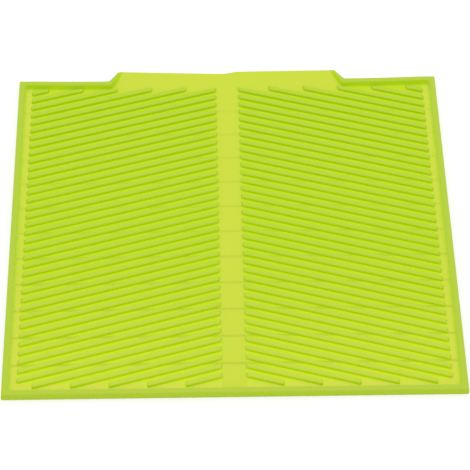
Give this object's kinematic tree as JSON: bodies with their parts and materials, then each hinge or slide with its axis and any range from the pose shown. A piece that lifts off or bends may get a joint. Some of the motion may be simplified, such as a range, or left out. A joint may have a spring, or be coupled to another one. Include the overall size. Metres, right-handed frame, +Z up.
{
  "type": "silicone dish drying mat",
  "caption": "Flat square silicone tray mat with slanted drain ribs, a raised rim and a rear drain lip; folds in half along its smooth centre channel.",
  "frame": {"origin": "middle of the footprint, on the surface that the mat lies on", "axes": "+X across the mat to the right seen from its front edge, +Y along the centre channel from the front edge to the drain lip, +Z up"},
  "size_m": [0.45, 0.411, 0.008],
  "materials": {
    "lime_silicone": "satin moulded silicone"
  },
  "bodies": {
    "left_half": {"left_panel": "lime_silicone", "channel_web": "lime_silicone"},
    "right_half": {"right_panel": "lime_silicone"}
  },
  "joints": [
    {"name": "centre_fold", "type": "hinge", "parent": "left_half", "child": "right_half", "pos_m": [0, 0, 0.0083], "axis": [0, -1, 0], "range_deg": [0, 179.9], "stiffness_Nm_per_rad": 0.02, "deforming": ["channel_web"]}
  ]
}
